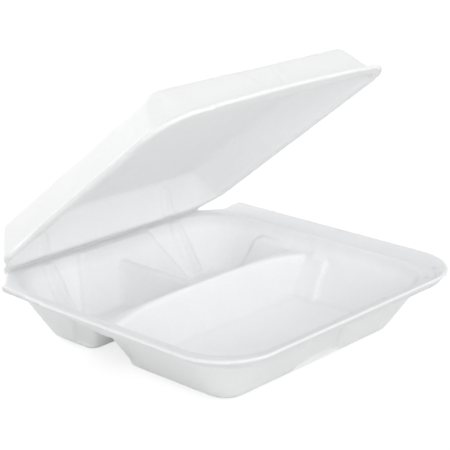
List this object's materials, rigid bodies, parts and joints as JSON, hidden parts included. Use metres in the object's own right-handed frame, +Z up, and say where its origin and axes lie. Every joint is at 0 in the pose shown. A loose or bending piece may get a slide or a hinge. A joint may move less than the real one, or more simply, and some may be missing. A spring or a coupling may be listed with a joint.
{
  "type": "hinged foam food container",
  "caption": "Hinged foam takeaway tray with a large front well, two small back wells and a domed lid standing open on a fold along the back edge.",
  "frame": {"origin": "on the standing plane, under the flat floor of the large front well, on the middle line", "axes": "+X to the right, +Y from the front edge towards the fold, +Z up"},
  "size_m": [0.203, 0.19, 0.1514],
  "materials": {
    "foam_base": "satin",
    "foam_lid": "satin"
  },
  "bodies": {
    "base": {"base": "foam_base"},
    "lid": {"lid": "foam_lid"}
  },
  "joints": [
    {"name": "lid_hinge", "type": "hinge", "parent": "base", "child": "lid", "pos_m": [0, 0.13464, 0.03265], "axis": [-1, 0, 0], "range_deg": [-38.6, 141.4]}
  ]
}
